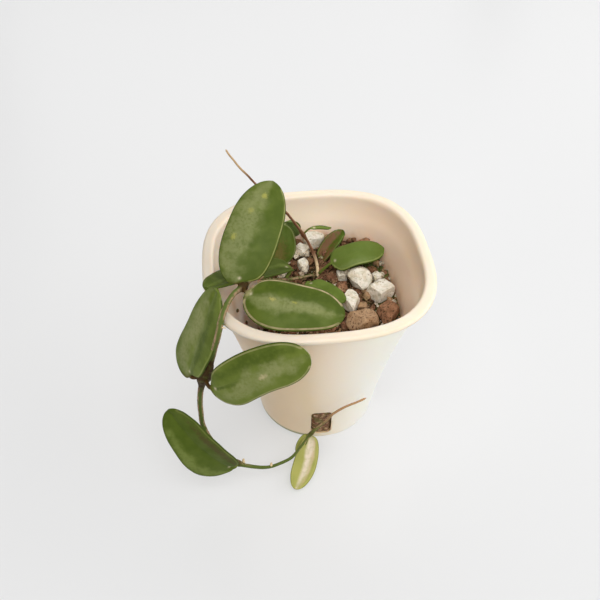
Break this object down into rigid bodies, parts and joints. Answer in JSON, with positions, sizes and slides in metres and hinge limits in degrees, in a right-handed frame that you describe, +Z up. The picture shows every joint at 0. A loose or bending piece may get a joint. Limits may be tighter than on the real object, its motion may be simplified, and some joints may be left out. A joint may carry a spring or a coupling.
{
  "type": "potted hoya",
  "caption": "Small trailing hoya with oblong leaves in a tapered rounded-square plastic pot, its vine hanging over the rim to the surface.",
  "frame": {"origin": "centre of the pot's flat underside", "axes": "+Z up; the pot's four sides face X and Y, and the vine hangs over the front left corner at -X -Y"},
  "size_m": [0.1106, 0.0979, 0.1128],
  "materials": {
    "pot_plastic": "cream moulded polypropylene, soft gloss",
    "potting_mix": "dark bark and grit mix, crumbly and matt",
    "pumice": "off-white volcanic pumice, pitted and matt",
    "baked_clay": "brown hard clay granules, rough and matt",
    "vine_skin": "green stem with pinkish brown flecks, satin",
    "runner_skin": "thin brown bare runner, dry and matt",
    "leaf_dark": "thick dark green leaf, silvery mottling, pale margin, waxy satin",
    "leaf_mid": "plain mid green leaf, waxy satin",
    "leaf_young": "yellow green young leaf with a cream pink centre stripe, satin"
  },
  "bodies": {
    "root": {"pot": "pot_plastic", "soil": "potting_mix", "pumice_1": "pumice", "pumice_2": "pumice", "pumice_3": "pumice", "pumice_4": "pumice", "pumice_5": "pumice", "pumice_6": "pumice", "pumice_7": "pumice", "pumice_8": "pumice", "pumice_9": "pumice", "clay_1": "baked_clay", "clay_2": "baked_clay", "clay_3": "baked_clay", "clay_4": "baked_clay", "clay_5": "baked_clay", "clay_6": "baked_clay", "vine": "vine_skin", "runner": "runner_skin", "leaf_upper": "leaf_dark", "leaf_rim": "leaf_dark", "leaf_left": "leaf_dark", "leaf_behind": "leaf_dark", "leaf_front": "leaf_dark", "leaf_low": "leaf_dark", "leaf_young": "leaf_young", "leaf_young_twin": "leaf_young", "leaf_crown_tall": "leaf_mid", "leaf_crown_back": "leaf_mid", "leaf_crown_narrow": "leaf_mid", "leaf_crown_flat": "leaf_mid", "leaf_crown_low": "leaf_mid", "leaf_bud": "leaf_mid"}
  },
  "joints": []
}
